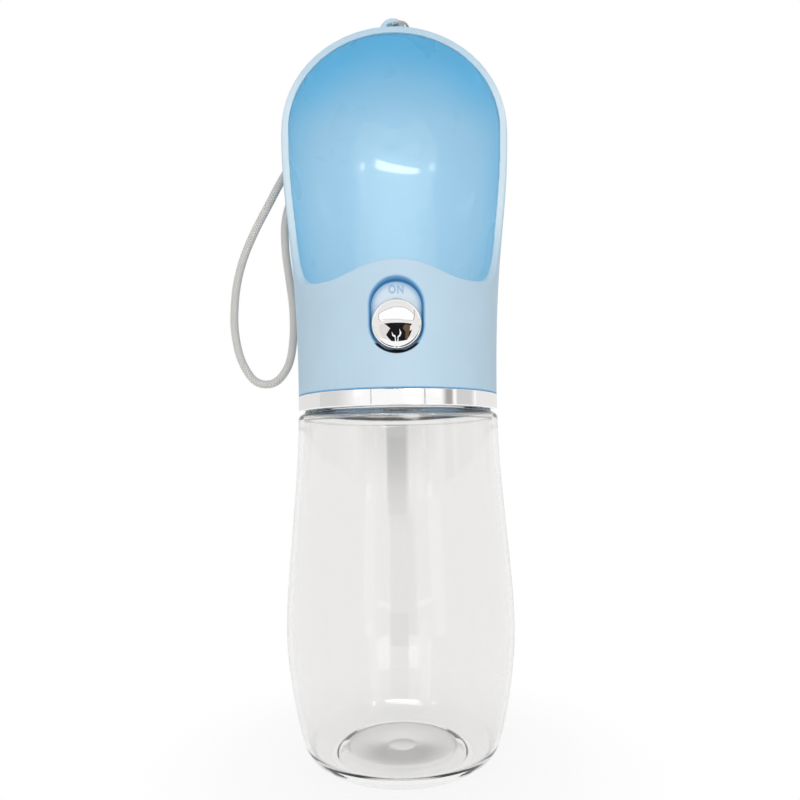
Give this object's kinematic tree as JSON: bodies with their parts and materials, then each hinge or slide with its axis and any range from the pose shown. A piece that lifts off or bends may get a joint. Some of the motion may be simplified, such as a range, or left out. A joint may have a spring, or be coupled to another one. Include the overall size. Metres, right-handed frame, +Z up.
{
  "type": "dog travel water bottle",
  "caption": "Clear travel bottle with a screw-on drinking trough head, a sliding lock and push-button valve, a bright trim ring and a wrist cord.",
  "frame": {"origin": "centre of the circle on which the bottle stands", "axes": "+Z up along the bottle, -Y towards the front with the trough and the button, +X to the right seen from the front"},
  "size_m": [0.0892, 0.071, 0.2277],
  "materials": {
    "clear_bottle": "clear smooth plastic",
    "matte_shell": "satin",
    "glossy_trough": "glossy",
    "bright_trim": "mirror-bright plating",
    "core_plastic": "smooth",
    "white_plastic": "smooth",
    "silicone": "soft and matt",
    "spring_steel": "drawn wire",
    "string_fibre": "twisted string",
    "ferrule_metal": "satin",
    "woven_cord": "round woven cord"
  },
  "bodies": {
    "bottle": {"bottle": "clear_bottle"},
    "gasket": {"neck_gasket": "silicone"},
    "head": {"outer_shell": "matte_shell", "trough": "glossy_trough", "trim_ring": "bright_trim", "socket_core": "core_plastic", "valve_chamber": "white_plastic", "chamber_seal": "silicone", "stem_seal": "silicone", "outlet_grommet": "silicone", "guide_cap": "white_plastic", "spring_cage": "white_plastic", "slider_frame": "core_plastic", "frame_screws": "spring_steel", "valve_spring": "spring_steel", "lanyard_string": "string_fibre", "lanyard_ferrule": "ferrule_metal", "lanyard_cord": "woven_cord"},
    "slider": {"lock_slider": "core_plastic", "button_spring": "spring_steel"},
    "button": {"button_cap": "bright_trim", "button_shank": "white_plastic"},
    "bar": {"push_bar": "white_plastic"},
    "valve": {"valve_stem": "white_plastic", "valve_disc": "white_plastic", "valve_seal": "silicone"}
  },
  "joints": [
    {"name": "head_climb", "type": "slide", "parent": "bottle", "child": "gasket", "axis": [0, 0, 1], "range_m": [0, 0.005]},
    {"name": "head_unscrew", "type": "hinge", "parent": "gasket", "child": "head", "pos_m": [0, 0, 0.11], "axis": [0, 0, 1], "range_deg": [0, 451]},
    {"name": "lock_slide", "type": "slide", "parent": "head", "child": "slider", "axis": [0, 0, 1], "range_m": [0, 0.0053]},
    {"name": "button_press", "type": "slide", "parent": "slider", "child": "button", "axis": [0, 1, 0], "range_m": [0, 0.0025], "stiffness_N_per_m": 300, "springref_m": -0.002, "deforming": ["button_spring"]},
    {"name": "bar_slide", "type": "slide", "parent": "head", "child": "bar", "axis": [0, 1, 0], "range_m": [0, 0.0026]},
    {"name": "valve_open", "type": "slide", "parent": "head", "child": "valve", "axis": [0, 0, -1], "range_m": [0, 0.0026], "stiffness_N_per_m": 300, "springref_m": -0.002, "deforming": ["valve_spring"]}
  ],
  "couplings": [
    {"joint": "head_unscrew", "follows": "head_climb", "rad_per_m": 1570.8},
    {"joint": "bar_slide", "follows": "button_press", "ratio": 1},
    {"joint": "valve_open", "follows": "button_press", "ratio": 1}
  ]
}
